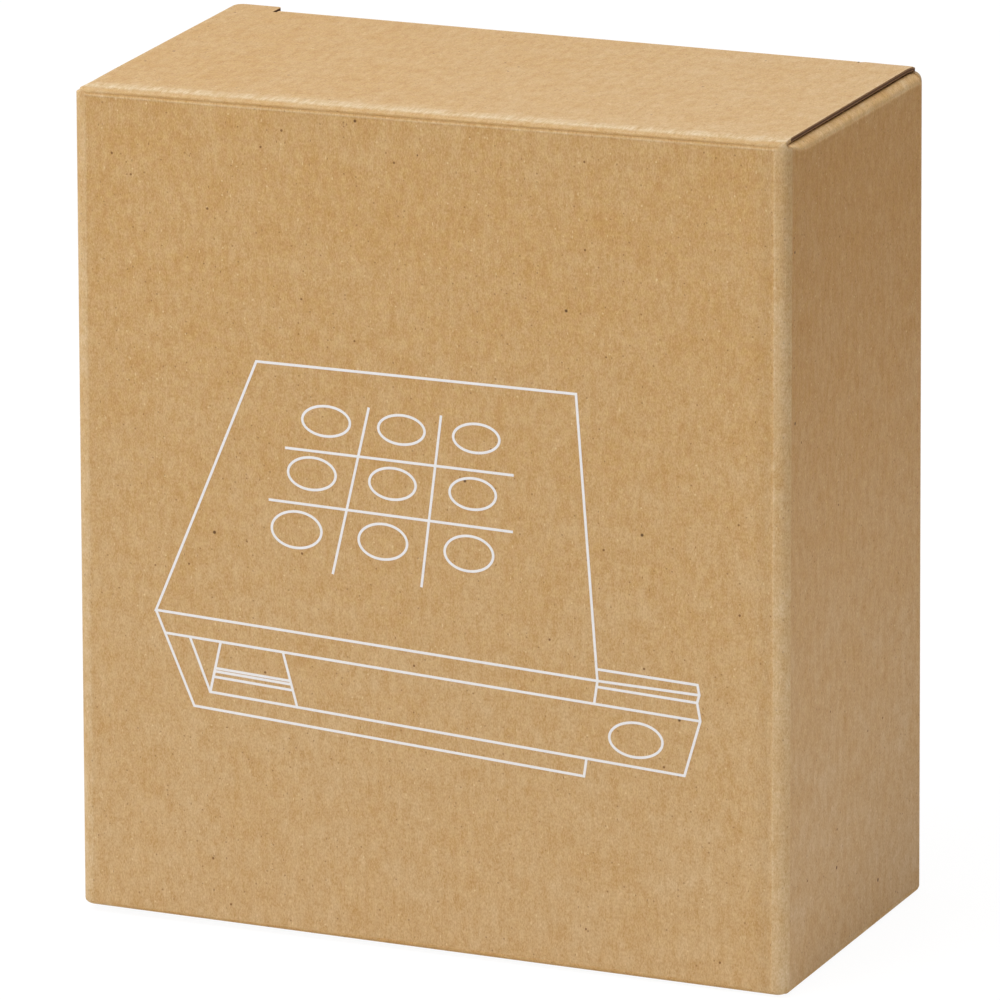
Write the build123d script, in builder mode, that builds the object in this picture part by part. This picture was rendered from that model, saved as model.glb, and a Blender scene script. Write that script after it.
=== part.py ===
from build123d import *
from math import cos, radians, sin, sqrt
import os

# Carton: kraft card, standing on its short bottom flaps, printed front panel towards -Y.
CARTON_W = 125.0
CARTON_D = 62.0
CARTON_H = 140.5
CARD_T = 1.0
CREASE_R = 2.0
GAP = 0.1

# Lid, its tuck and the end tabs left by the slits in the tuck crease.
LID_HALF_W = 60.7
TAB_INNER_X = 52.7
TUCK_HALF_W = 52.0
TUCK_TIP_HALF_W = 47.0
TUCK_L = 13.0
TUCK_LEAN = 13.5
TUCK_CORNER_R = 6.0

# Dust flaps, measured from the side crease (reach) and from the front crease (depth).
DUST_REACH = 32.0
DUST_DEPTH = 54.5
DUST_SHOULDER_REACH = 9.8
MITRE_START = 1.5

# Glue flap that closes the tube inside the left panel.
GLUE_FLAP_W = 12.9
GLUE_FLAP_END = 6.0
GLUE_FLAP_TAPER = 4.0

# Wooden game, stored on its side with the board face towards the front panel.
GAME_W = 110.0
GAME_T = 40.0
PLATE_T = 9.0
BASE_T = 7.0
WALL_T = 7.0
EASED_EDGE = 0.8
POCKET_R = 7.0
POCKET_DEPTH = 5.0
PITCH = 23.6
LINE_W = 1.5
LINE_DEPTH = 1.2
LINE_L = 69.0

# Sliding door: a raised outer part and a wider rear part whose edges run in grooves.
DOOR_FACE_T = 4.0
DOOR_RAIL_T = 3.2
GROOVE_DEPTH = 2.5
SLIDE_GAP = 0.15
FINGER_HOLE_R = 6.6
FINGER_HOLE_END = 12.8

# Playing balls, a little wider than the pockets so that they sit on the rims.
BALL_R = 8.0
BALLS_PER_SIDE = 5

SIDE_X = CARTON_W / 2
FRONT_Y = -CARTON_D / 2
BACK_Y = CARTON_D / 2
CARD_IN_R = CREASE_R - CARD_T
LAYER = CARD_T + GAP
SIDE_TOP = CARTON_H - LAYER
MID_HEIGHT = Plane.XY.offset(CARTON_H / 2)

GAME_BOTTOM = 2 * LAYER
GAME_TOP = GAME_BOTTOM + GAME_W
GAME_MID_Z = GAME_BOTTOM + GAME_W / 2
BOARD_Y = -GAME_T / 2
PLATE_IN_Y = BOARD_Y + PLATE_T
BASE_IN_Y = GAME_T / 2 - BASE_T
CAVITY_MID_Y = (PLATE_IN_Y + BASE_IN_Y) / 2
CAVITY_T = BASE_IN_Y - PLATE_IN_Y
DOOR_X = -GAME_W / 2
RAIL_X = DOOR_X + DOOR_FACE_T
DOOR_IN_X = RAIL_X + DOOR_RAIL_T
UPPER_WALL_Z = GAME_TOP - WALL_T
LOWER_WALL_Z = GAME_BOTTOM + WALL_T
DOOR_L = UPPER_WALL_Z - GAME_BOTTOM - GAP


def block(low, high):
    """Box between two corners."""
    size = [b - a for a, b in zip(low, high)]
    middle = [(a + b) / 2 for a, b in zip(low, high)]
    with Locations(Location(tuple(middle))):
        Box(*size)


def crease_bead(plane, centre, quarter, sweep, length):
    """Bent strip of card around a crease: part of a ring in the plane, drawn out on both sides."""
    with BuildSketch(plane) as section:
        with BuildLine():
            CenterArc(centre, CREASE_R, quarter, sweep)
            CenterArc(centre, CARD_IN_R, quarter, sweep)
            start, end = radians(quarter), radians(quarter + sweep)
            for a in (start, end):
                Line(
                    (centre[0] + CARD_IN_R * cos(a), centre[1] + CARD_IN_R * sin(a)),
                    (centre[0] + CREASE_R * cos(a), centre[1] + CREASE_R * sin(a)),
                )
        make_face()
    extrude(section.sketch, amount=length, both=True)


def tube_wall(low_z, high_z, wedge):
    """The part of the card tube inside one wedge of the plan, between two heights."""
    with BuildSketch(Plane.XY.offset(low_z)) as ring:
        RectangleRounded(CARTON_W, CARTON_D, CREASE_R)
        inner = (CARTON_W - 2 * CARD_T, CARTON_D - 2 * CARD_T)
        RectangleRounded(*inner, CARD_IN_R, mode=Mode.SUBTRACT)
        with BuildLine():
            Polyline(*wedge, close=True)
        make_face(mode=Mode.INTERSECT)
    extrude(ring.sketch, amount=high_z - low_z)


def plan_wedge(side):
    """Wedge of the plan bounded by the diagonals through two neighbouring corners."""
    reach = CARTON_D / 2
    near = CARTON_W / 2 - reach
    corners = {
        "front": [(-near, 0), (-SIDE_X - 5, FRONT_Y - 5), (SIDE_X + 5, FRONT_Y - 5), (near, 0)],
        "back": [(near, 0), (SIDE_X + 5, BACK_Y + 5), (-SIDE_X - 5, BACK_Y + 5), (-near, 0)],
        "right": [(near, 0), (SIDE_X + 5, FRONT_Y - 5), (SIDE_X + 5, BACK_Y + 5)],
        "left": [(-near, 0), (-SIDE_X - 5, BACK_Y + 5), (-SIDE_X - 5, FRONT_Y - 5)],
    }
    return corners[side]


# Front panel: carries the lid crease at the top and the bottom crease below.
with BuildPart() as front_panel:
    tube_wall(CREASE_R, CARTON_H - CREASE_R, plan_wedge("front"))
    bead_y = FRONT_Y + CREASE_R
    crease_bead(Plane.YZ, (bead_y, CARTON_H - CREASE_R), 90, 90, SIDE_X - CREASE_R)
    crease_bead(Plane.YZ, (bead_y, CREASE_R), 180, 90, SIDE_X - CREASE_R)


def side_panel(sign):
    """Left or right panel with the creases of its two dust flaps."""
    with BuildPart() as panel:
        name = "right" if sign > 0 else "left"
        tube_wall(LAYER + CREASE_R, SIDE_TOP - CREASE_R, plan_wedge(name))
        bead_x = sign * (SIDE_X - CREASE_R)
        upper = 0 if sign > 0 else 90
        lower = 270 if sign > 0 else 180
        depth = CARTON_D / 2 - CREASE_R
        crease_bead(Plane.XZ, (bead_x, SIDE_TOP - CREASE_R), upper, 90, depth)
        crease_bead(Plane.XZ, (bead_x, LAYER + CREASE_R), lower, 90, depth)
    return panel


right_panel = side_panel(1)
left_panel = side_panel(-1)

# Back panel: raw edges, cut back at the ends where the lid's tabs lie over them.
with BuildPart() as back_panel:
    tube_wall(LAYER, SIDE_TOP, plan_wedge("back"))
    low = (-TUCK_HALF_W, BACK_Y - CARD_T, 0)
    high = (TUCK_HALF_W, BACK_Y, LAYER)
    block(low, high)

with BuildPart() as glue_flap:
    with BuildSketch(Plane.YZ.offset(-SIDE_X + CARD_T)):
        edge_y = BACK_Y - CREASE_R - GAP
        tip_y = edge_y - GLUE_FLAP_W
        with BuildLine():
            Polyline(
                (edge_y, GLUE_FLAP_END),
                (tip_y, GLUE_FLAP_END + GLUE_FLAP_TAPER),
                (tip_y, CARTON_H - GLUE_FLAP_END - GLUE_FLAP_TAPER),
                (edge_y, CARTON_H - GLUE_FLAP_END),
                close=True,
            )
        make_face()
    extrude(amount=CARD_T)

# Lid: flat panel, end tabs and the crease that turns down into the tuck.
tuck_crease_y = BACK_Y - CARD_T - GAP - CREASE_R
with BuildPart() as lid_panel:
    with BuildSketch(Plane.XY.offset(CARTON_H - CARD_T)):
        hinge_y = FRONT_Y + CREASE_R + GAP
        with BuildLine():
            Polyline(
                (-LID_HALF_W, hinge_y),
                (LID_HALF_W, hinge_y),
                (LID_HALF_W, BACK_Y),
                (TAB_INNER_X, BACK_Y),
                (TAB_INNER_X, tuck_crease_y),
                (-TAB_INNER_X, tuck_crease_y),
                (-TAB_INNER_X, BACK_Y),
                (-LID_HALF_W, BACK_Y),
                close=True,
            )
        make_face()
        tab_corners = vertices().filter_by(lambda v: abs(v.X) > LID_HALF_W - 0.1 and v.Y > 0)
        fillet(tab_corners, radius=CREASE_R)
    extrude(amount=CARD_T)
    centre = (tuck_crease_y, CARTON_H - CREASE_R)
    crease_bead(Plane.YZ, centre, -TUCK_LEAN, 90 + TUCK_LEAN, TUCK_HALF_W)

# Tuck flap: leans into the carton so that it slides past the back panel.
lean = radians(TUCK_LEAN)
tuck_start_y = tuck_crease_y + CREASE_R * cos(lean) - GAP * sin(lean)
tuck_start_z = CARTON_H - CREASE_R - CREASE_R * sin(lean) - GAP * cos(lean)
with BuildPart() as tuck_flap:
    tuck_plane = Plane(
        origin=(0, tuck_start_y, tuck_start_z),
        x_dir=(1, 0, 0),
        z_dir=(0, -cos(lean), sin(lean)),
    )
    with BuildSketch(tuck_plane):
        with BuildLine():
            Polyline(
                (-TUCK_HALF_W, 0),
                (-TUCK_TIP_HALF_W, -TUCK_L),
                (TUCK_TIP_HALF_W, -TUCK_L),
                (TUCK_HALF_W, 0),
                close=True,
            )
        make_face()
        fillet(vertices().group_by(Axis.Y)[0], radius=TUCK_CORNER_R)
    extrude(amount=CARD_T)


def dust_flap(sign):
    """Top dust flap: mitred towards the lid crease, shouldered where it enters the slit."""
    def at(reach, depth):
        return (sign * (SIDE_X - reach), FRONT_Y + depth)

    with BuildPart() as flap:
        with BuildSketch(Plane.XY.offset(SIDE_TOP - CARD_T)):
            start = CREASE_R + GAP
            shoulder = CARTON_D - CARD_T - 2 * GAP
            with BuildLine():
                Polyline(
                    at(start, start + MITRE_START),
                    at(DUST_REACH, DUST_REACH + MITRE_START),
                    at(DUST_REACH, DUST_DEPTH),
                    at(DUST_SHOULDER_REACH + 2, DUST_DEPTH),
                    at(DUST_SHOULDER_REACH, shoulder),
                    at(start, shoulder),
                    close=True,
                )
            make_face()
            tips = vertices().filter_by(lambda v: abs(v.X) < SIDE_X - DUST_REACH + 0.1)
            fillet(tips, radius=4)
        extrude(amount=CARD_T)
    return flap


dust_flap_right = dust_flap(1)
dust_flap_left = dust_flap(-1)


def turned_over(source):
    """The same piece at the other end of the carton."""
    with BuildPart() as piece:
        mirror(source.part, about=MID_HEIGHT)
    return piece


bottom_panel = turned_over(lid_panel)
bottom_tuck_flap = turned_over(tuck_flap)
bottom_dust_flap_right = turned_over(dust_flap_right)
bottom_dust_flap_left = turned_over(dust_flap_left)

half_w = GAME_W / 2
groove_x = (RAIL_X - SLIDE_GAP, DOOR_IN_X + SLIDE_GAP)

# Board: the top of the case, with nine pockets and the engraved grid.
with BuildPart() as board_plate:
    block((-half_w, BOARD_Y, GAME_BOTTOM), (half_w, PLATE_IN_Y, GAME_TOP))
    fillet(board_plate.edges(), radius=EASED_EDGE)
    board_face = Plane(origin=(0, BOARD_Y, GAME_MID_Z), x_dir=(1, 0, 0), z_dir=(0, -1, 0))
    with BuildSketch(board_face):
        with GridLocations(PITCH, PITCH, 3, 3):
            Circle(POCKET_R)
    extrude(amount=-POCKET_DEPTH, mode=Mode.SUBTRACT)
    with BuildSketch(board_face):
        with GridLocations(PITCH, 0, 2, 1):
            Rectangle(LINE_W, LINE_L)
        with GridLocations(0, PITCH, 1, 2):
            Rectangle(LINE_L, LINE_W)
    extrude(amount=-LINE_DEPTH, mode=Mode.SUBTRACT)
    with BuildSketch(Plane.XY.offset(GAME_BOTTOM)):
        with Locations(((groove_x[0] + groove_x[1]) / 2, PLATE_IN_Y - GROOVE_DEPTH / 2)):
            Rectangle(groove_x[1] - groove_x[0], GROOVE_DEPTH)
    extrude(amount=DOOR_L + GAP, mode=Mode.SUBTRACT)

# Base plate: the floor of the case, with the second door groove.
with BuildPart() as base_plate:
    block((-half_w, BASE_IN_Y, GAME_BOTTOM), (half_w, GAME_T / 2, GAME_TOP))
    fillet(base_plate.edges(), radius=EASED_EDGE)
    with BuildSketch(Plane.XY.offset(GAME_BOTTOM)):
        with Locations(((groove_x[0] + groove_x[1]) / 2, BASE_IN_Y + GROOVE_DEPTH / 2)):
            Rectangle(groove_x[1] - groove_x[0], GROOVE_DEPTH)
    extrude(amount=DOOR_L + GAP, mode=Mode.SUBTRACT)

# Case walls. The one at the top closes the case; the lower one stands behind the door.
with BuildPart() as upper_wall:
    block((-half_w, PLATE_IN_Y, UPPER_WALL_Z), (half_w, BASE_IN_Y, GAME_TOP))
    fillet(upper_wall.edges().filter_by(Axis.Y).group_by(Axis.Z)[-1], radius=EASED_EDGE)

with BuildPart() as lower_wall:
    wall_x = DOOR_IN_X + SLIDE_GAP
    block((wall_x, PLATE_IN_Y, GAME_BOTTOM), (half_w, BASE_IN_Y, LOWER_WALL_Z))
    outer_edges = lower_wall.edges().filter_by(Axis.Y).group_by(Axis.Z)[0]
    fillet(outer_edges.sort_by(Axis.X)[-1], radius=EASED_EDGE)

with BuildPart() as back_wall:
    low = (half_w - WALL_T, PLATE_IN_Y, LOWER_WALL_Z)
    block(low, (half_w, BASE_IN_Y, UPPER_WALL_Z))

# Sliding door with a finger hole near its free end.
with BuildPart() as sliding_door:
    face_y = CAVITY_T / 2 - SLIDE_GAP
    rail_y = face_y + GROOVE_DEPTH
    low = (DOOR_X, CAVITY_MID_Y - face_y, GAME_BOTTOM)
    block(low, (RAIL_X, CAVITY_MID_Y + face_y, GAME_BOTTOM + DOOR_L))
    outer_face = sliding_door.faces().sort_by(Axis.X)[0]
    fillet(outer_face.edges(), radius=EASED_EDGE)
    low = (RAIL_X, CAVITY_MID_Y - rail_y, GAME_BOTTOM)
    block(low, (DOOR_IN_X, CAVITY_MID_Y + rail_y, GAME_BOTTOM + DOOR_L))
    hole_z = GAME_BOTTOM + FINGER_HOLE_END
    with BuildSketch(Plane.YZ.offset(DOOR_X)):
        with Locations((CAVITY_MID_Y, hole_z)):
            Circle(FINGER_HOLE_R)
    extrude(amount=DOOR_IN_X - DOOR_X, mode=Mode.SUBTRACT)

# Balls settled in the case: five along the lower wall, four in the gaps and one on top.
rest_gap = 0.1
cavity_low_x = DOOR_IN_X + SLIDE_GAP
cavity_high_x = half_w - WALL_T
row_pitch = (cavity_high_x - cavity_low_x - 2 * BALL_R - 2 * rest_gap) / (BALLS_PER_SIDE - 1)
row_x = cavity_low_x + BALL_R + rest_gap
row_z = LOWER_WALL_Z + BALL_R + rest_gap
centre_gap = 2 * BALL_R + rest_gap
row_rise = sqrt(centre_gap**2 - (row_pitch / 2) ** 2)
light_spots = [(row_x + i * row_pitch, CAVITY_MID_Y, row_z) for i in range(BALLS_PER_SIDE)]
dark_spots = [
    (row_x + (i + 0.5) * row_pitch, CAVITY_MID_Y, row_z + row_rise)
    for i in range(BALLS_PER_SIDE - 1)
]
dark_spots.append((row_x + 2 * row_pitch, CAVITY_MID_Y, row_z + 2 * row_rise))


def ball_set(spots):
    """Loose balls of one colour."""
    with BuildPart() as balls:
        with Locations(*spots):
            Sphere(BALL_R)
    return balls


light_balls = ball_set(light_spots)
dark_balls = ball_set(dark_spots)

pieces = {
    "front_panel": front_panel,
    "right_panel": right_panel,
    "back_panel": back_panel,
    "left_panel": left_panel,
    "glue_flap": glue_flap,
    "lid_panel": lid_panel,
    "tuck_flap": tuck_flap,
    "dust_flap_left": dust_flap_left,
    "dust_flap_right": dust_flap_right,
    "bottom_panel": bottom_panel,
    "bottom_tuck_flap": bottom_tuck_flap,
    "bottom_dust_flap_left": bottom_dust_flap_left,
    "bottom_dust_flap_right": bottom_dust_flap_right,
    "board_plate": board_plate,
    "base_plate": base_plate,
    "upper_wall": upper_wall,
    "lower_wall": lower_wall,
    "back_wall": back_wall,
    "sliding_door": sliding_door,
    "light_balls": light_balls,
    "dark_balls": dark_balls,
}

os.makedirs("parts", exist_ok=True)
for name, piece in pieces.items():
    piece.part.label = name
    export_step(piece.part, f"parts/{name}.step")
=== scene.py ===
import math

import bmesh
import bpy
import numpy as np
from mathutils import Matrix, Vector
from mathutils.geometry import delaunay_2d_cdt


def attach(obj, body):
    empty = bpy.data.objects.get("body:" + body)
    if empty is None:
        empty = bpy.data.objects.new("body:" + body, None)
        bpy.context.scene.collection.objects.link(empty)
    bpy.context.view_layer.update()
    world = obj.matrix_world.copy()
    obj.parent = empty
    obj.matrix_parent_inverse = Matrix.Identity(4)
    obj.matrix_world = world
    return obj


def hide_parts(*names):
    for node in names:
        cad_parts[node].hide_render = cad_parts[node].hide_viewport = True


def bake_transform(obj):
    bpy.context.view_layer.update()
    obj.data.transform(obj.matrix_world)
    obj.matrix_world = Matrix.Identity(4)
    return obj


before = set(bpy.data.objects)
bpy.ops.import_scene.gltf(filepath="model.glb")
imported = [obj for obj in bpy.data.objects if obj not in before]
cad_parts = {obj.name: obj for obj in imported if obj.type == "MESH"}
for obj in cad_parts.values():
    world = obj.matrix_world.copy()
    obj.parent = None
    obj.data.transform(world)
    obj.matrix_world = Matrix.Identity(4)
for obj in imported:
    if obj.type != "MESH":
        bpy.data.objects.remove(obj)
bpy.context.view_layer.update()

# Sizes in millimetres, as in the part's source. Lengths times MM are metres, as in the frame.
MM = 0.001
CARTON_W = 125.0
CARTON_D = 62.0
HALF_W = CARTON_W / 2
HALF_D = CARTON_D / 2
CARTON_H = 140.5
CARD_T = 0.7
CAD_CARD_T = 1.0
CREASE_R = 2.0
GAP = 0.1
LEAN_LEFT = 0.73
LEAN_FRONT = 1.32
LEAN_BACK = 0.33
LEFT_RISE = 0.79
LAYER = CAD_CARD_T + GAP
FLAT_X = HALF_W - CREASE_R
FLAT_Y = HALF_D - CREASE_R
ARC_L = CREASE_R * math.pi / 2
LEAD = 0.25
LEAD_SINK = 0.04
TAB_INNER_X = (52.7, 52.12)
TUCK_HALF_W = 52.0
TUCK_TIP_HALF_W = 47.0
TUCK_L = 13.0
TUCK_LEAN = math.radians(13.5)
TUCK_CREASE_Y = HALF_D - CAD_CARD_T - GAP - CREASE_R
DUST_REACH = 32.0
DUST_DEPTH = 54.5
DUST_SHOULDER = 9.8
SIDE_TOP = CARTON_H - LAYER
SIDE_BEND = 1.6
SIDE_BEND_FRONT = 0.4
SIDE_BEND_REAR = 0.2
FLAP_RISE = 0.2
FLAP_TOUCH = 0.2
FOOT_BEND = 0.9
FOOT_RISE = 0.1
TAB_DROP = 0.7
TAB_TO_FLAP = 0.3
TAB_TO_BACK = 0.38
TAB_R = 1.6
LID_DROOP = 1.14
TIP_DROOP = 0.3
LID_HOLLOW = 0.12
SCORE_Z = 139.69
SCORE_TILT = 1.3
SCORE_DEEP = 0.09
LIP_HIGH = 0.06
LIP_BELOW = 0.38
WAVINESS = 0.05
TUCK_BOW = 0.5
GLUE_T = 0.02
WALL_HIGH = CARTON_H - CREASE_R
WALL_LOW = CREASE_R
FLUTE_PITCH = 2.3
END_H = 12.0
CAP_SHARE = 0.93
GLUE_W = 12.9
GLUE_END = 6.0
GLUE_TAPER = 4.0
GAME_W = 110.0
GAME_T = 40.0

# Where the pieces lie in the flat blank, whose paper they share.
SIDE_U = 96.0
BACK_U = 192.0
GLUE_U = 300.0
DUST_V = 140.0
TUCK_CREASE_V = 230.0
TUCK_V = 240.0


def smooth(x):
    """0 below 0, 1 above 1, and a smooth step between."""
    t = np.clip(x, 0.0, 1.0)
    return t * t * (3 - 2 * t)


def srgb(r, g, b):
    """Linear colour of an 8-bit screen colour."""
    out = []
    for c in (r, g, b):
        c = c / 255
        out.append(c / 12.92 if c <= 0.04045 else ((c + 0.055) / 1.055) ** 2.4)
    return (*out, 1.0)


# Materials.
KRAFT_YELLOW = srgb(193, 155, 97)
KRAFT_RED = srgb(191, 150, 98)
KRAFT_PALE = srgb(197, 165, 121)
KRAFT_SPECK = srgb(118, 78, 42)
KRAFT_DARK_SPECK = srgb(88, 56, 32)
KRAFT_STRAND = srgb(226, 204, 160)
# Rubbed paper, and the colour of the painted sheen on the lid.
KRAFT_WORN_AND_SHEEN = srgb(221, 201, 166)
# Painted shade: in score grooves, just inside a front corner, and near black under the lid's edge.
KRAFT_PAINTED_SHADE = srgb(64, 40, 24)
# Painted light on the narrow side walls: darker, warmer painted shade at their top and cooler
# painted floor light at their foot.
SIDE_TOP_PAINTED_SHADE = (0.96, 0.885, 0.82, 1)
SIDE_FOOT_PAINTED_LIGHT = (0.988, 1.0, 1.1, 1)
SIDE_PAINTED_LIGHT_U = (62.0, 67.0)
# Cut edge: the paper of liners and medium, and the painted shade in the open flutes.
EDGE_PAPER = srgb(158, 118, 78)
EDGE_HOLLOW_PAINTED_SHADE = srgb(82, 52, 30)
INK = srgb(232, 231, 232)
PAPER_RELIEF = 0.06 * MM
FLUTE_RELIEF = 0.01 * MM
INK_RELIEF = 0.05 * MM
WOOD_RELIEF = 0.05 * MM


class Nodes:
    """Short way to add and join nodes, of a new material or of the tree that is given."""

    def __init__(self, name=None, tree=None):
        if tree is None:
            self.material = bpy.data.materials.new(name)
            self.material.use_nodes = True
            tree = self.material.node_tree
            self.shader = tree.nodes["Principled BSDF"]
        self.tree = tree

    def add(self, kind, inputs=(), **values):
        node = self.tree.nodes.new(kind)
        for key, value in values.items():
            setattr(node, key, value)
        for key, value in dict(inputs).items():
            self.feed(node.inputs[key], value)
        return node

    def join(self, source, target):
        self.tree.links.new(source, target)

    def feed(self, socket, value):
        if isinstance(value, bpy.types.NodeSocket):
            self.join(value, socket)
        else:
            socket.default_value = value

    def look(self, **inputs):
        """Sockets of the shader: base_color, roughness and so on, as a number or a node's output."""
        for socket in self.shader.inputs:
            key = socket.name.lower().replace(" ", "_")
            if key in inputs:
                self.feed(socket, inputs[key])

    def math(self, operation, a, b=0.0):
        return self.add("ShaderNodeMath", {0: a, 1: b}, operation=operation).outputs[0]

    def times(self, a, b):
        return self.math("MULTIPLY", a, b)

    def vector(self, operation, a, b):
        return self.add("ShaderNodeVectorMath", {0: a, 1: b}, operation=operation).outputs[0]

    def attribute(self, name, output="Fac"):
        return self.add("ShaderNodeAttribute", attribute_name=name).outputs[output]

    def split(self, vector):
        """The three parts of a vector."""
        return self.add("ShaderNodeSeparateXYZ", {0: vector}).outputs

    def noise(self, vector, scale, detail=2.0, roughness=0.5, distortion=0.0):
        inputs = {"Vector": vector, "Scale": scale, "Detail": detail, "Roughness": roughness}
        node = self.add("ShaderNodeTexNoise", {**inputs, "Distortion": distortion})
        return node.outputs["Fac"]

    def ramp(self, value, low, high, start=0.0, end=1.0):
        inputs = {"Value": value, "From Min": low, "From Max": high, "To Min": start, "To Max": end}
        node = self.add("ShaderNodeMapRange", inputs, interpolation_type="SMOOTHSTEP")
        return node.outputs["Result"]

    def mix(self, factor, a, b, blend="MIX"):
        node = self.add("ShaderNodeMix", data_type="RGBA", blend_type=blend)
        for key, value in (("Factor", factor), ("A", a), ("B", b)):
            self.feed(node.inputs[key], value)
        return node.outputs["Result"]

    def bump(self, height, distance, strength, under=None):
        inputs = {"Strength": strength, "Distance": distance, "Height": height}
        if under is not None:
            inputs["Normal"] = under
        return self.add("ShaderNodeBump", inputs).outputs["Normal"]

    def flecks(self, vector, scale, share, size):
        """Small round marks, in about that share of the cells."""
        node = self.add("ShaderNodeTexVoronoi", {"Vector": vector, "Scale": scale}, feature="F1")
        cell = self.add("ShaderNodeSeparateColor", {"Color": node.outputs["Color"]})
        chosen = self.ramp(cell.outputs["Red"], 1 - share, 1 - share * 0.5)
        reach = self.times(chosen, size)
        inside = self.math("SUBTRACT", reach, node.outputs["Distance"])
        return self.ramp(inside, 0.0, size * 0.5)


def paper_texture(n):
    """Noises of kraft liner in the flat blank's millimetres, and its height."""
    blank = n.attribute("blank", "Vector")
    upright = n.vector("MULTIPLY", blank, (1.0, 0.55, 1.0))
    t = {
        "blank": blank,
        "streak": n.noise(n.vector("MULTIPLY", blank, (1.0, 0.15, 1.0)), 0.9, 2.0),
        "cloud": n.noise(blank, 0.2, 2.0, 0.6),
        "patch": n.noise(blank, 0.75, 3.0, 0.6),
        "mottle": n.noise(n.vector("ADD", upright, (13.0, 47.0, 0.0)), 0.6, 3.0, 0.6),
        "pale": n.noise(n.vector("ADD", blank, (61.0, 23.0, 0.0)), 0.08, 6.0, 0.85),
        "grain": n.noise(upright, 4.2, 3.0, 0.65),
        "fibre": n.noise(n.vector("MULTIPLY", blank, (1.0, 0.4, 1.0)), 1.7, 3.0, 0.6, 1.5),
    }
    grain, fibre = (n.times(t[key], part) for key, part in (("grain", 0.6), ("fibre", 0.4)))
    t["height"] = n.math("ADD", grain, fibre)
    return t


def paper_tone(n, t):
    """Light and dark of the pulp. Pale pulp lightens the blue most and the red least."""
    grey = n.add("ShaderNodeCombineColor")
    for channel, fine, coarse in (("Red", 0.7, 0.55), ("Green", 1.0, 1.0), ("Blue", 1.65, 1.85)):
        tone = 1.0
        for key, low, high, part in (
            ("streak", 0.3, 0.7, 0.03 * coarse),
            ("cloud", 0.3, 0.7, 0.03 * coarse),
            ("mottle", 0.3, 0.7, 0.06 * coarse),
            ("fibre", 0.25, 0.75, 0.11 * fine),
            ("grain", 0.25, 0.75, 0.17 * fine),
        ):
            tone = n.math("ADD", n.ramp(t[key], low, high, -part, part), tone)
        n.join(tone, grey.inputs[channel])
    return grey.outputs[0]


def paper_colour(n, t):
    """Two yellower and redder pulps. The card is paler towards its foot, as painted light of the
    white floor. The narrow sides have painted shade, darker and warmer, at their top, and cooler
    painted floor light at their foot."""
    x, y, _ = n.split(t["blank"])
    base = n.mix(n.ramp(t["patch"], 0.35, 0.65), KRAFT_YELLOW, KRAFT_RED)
    # Painted light: paler towards the foot for the white floor's light, plus random pale pulp.
    pale_pulp_and_floor_light = n.ramp(y, 0.0, WALL_HIGH, 0.5, 0.0)
    pale_pulp_and_floor_light = n.math("ADD", n.ramp(t["pale"], 0.3, 0.7, 0.0, 0.5), pale_pulp_and_floor_light)
    base = n.mix(pale_pulp_and_floor_light, base, KRAFT_PALE)
    # Painted shade and painted floor light, on the narrow side walls only, below their bend.
    painted_side_mask = n.ramp(n.math("ABSOLUTE", x), *SIDE_PAINTED_LIGHT_U)
    painted_side_mask = n.times(painted_side_mask, n.ramp(y, WALL_HIGH - 0.4, WALL_HIGH + 0.2, 1.0, 0.0))
    painted_side_light = n.mix(n.ramp(y, 0.0, WALL_HIGH), SIDE_FOOT_PAINTED_LIGHT, SIDE_TOP_PAINTED_SHADE)
    return n.mix(painted_side_mask, base, n.mix(1.0, base, painted_side_light, "MULTIPLY"))


def pulp_marks(n, blank, colour):
    """Strands of lighter and darker pulp, in three directions, and round specks."""
    spots = []
    for angle, shift, *look in (
        (0.0, 0.0, 0.55, 0.3, 0.1, 0.6, KRAFT_STRAND),
        (0.9, 31.0, 0.5, 0.3, 0.1, 0.55, KRAFT_STRAND),
        (-0.8, 77.0, 0.5, 0.3, 0.1, 0.55, KRAFT_STRAND),
        (0.5, 13.0, 0.6, 0.3, 0.09, 0.7, KRAFT_SPECK),
        (-0.4, 55.0, 0.6, 0.3, 0.09, 0.62, KRAFT_SPECK),
    ):
        place = {"Location": (shift, shift, 0), "Rotation": (0, 0, angle), "Scale": (1.6, 0.55, 1.0)}
        turn = n.add("ShaderNodeMapping", {"Vector": blank, **place})
        spots.append((turn.outputs[0], *look))
    for shift, *look in (
        (5.0, 0.3, 0.35, 0.085, 0.85, KRAFT_SPECK),
        (17.0, 0.95, 0.3, 0.19, 0.52, KRAFT_SPECK),
        (29.0, 0.75, 0.3, 0.15, 0.55, KRAFT_STRAND),
        (43.0, 0.16, 0.4, 0.06, 0.9, KRAFT_DARK_SPECK),
    ):
        spots.append((n.vector("ADD", blank, (shift, shift * 0.7, 0.0)), *look))
    for vector, scale, share, size, strength, mark in spots:
        marks = n.flecks(vector, scale, share, size)
        colour = n.mix(n.times(marks, strength), colour, mark)
    return colour


def apply_wear_and_painted_light(n, blank, colour, grey):
    """Paper made paler by rubbed wear and painted sheen, darker by painted shade, and brighter by a
    painted highlight.
    """
    wear_and_painted_light = n.attribute("wear_and_painted_light")
    patchy = n.ramp(n.noise(blank, 0.9, 4.0, 0.7), 0.25, 0.65, 0.4, 1.1)
    rubbed_and_sheen = n.times(n.math("MAXIMUM", wear_and_painted_light, 0.0), patchy)
    colour = n.mix(rubbed_and_sheen, colour, n.mix(1.0, KRAFT_WORN_AND_SHEEN, grey, "MULTIPLY"))
    # Painted shade: in grooves, inside a corner and under the lid's edge.
    pressed = n.math("MAXIMUM", n.times(wear_and_painted_light, -1.0), 0.0)
    colour = n.mix(n.times(pressed, patchy), colour, KRAFT_PAINTED_SHADE)
    # Painted highlight on the bends to the side dust flaps.
    brighter = n.math("ADD", n.attribute("stretched"), 1.0)
    return n.mix(1.0, colour, brighter, "MULTIPLY")


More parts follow.
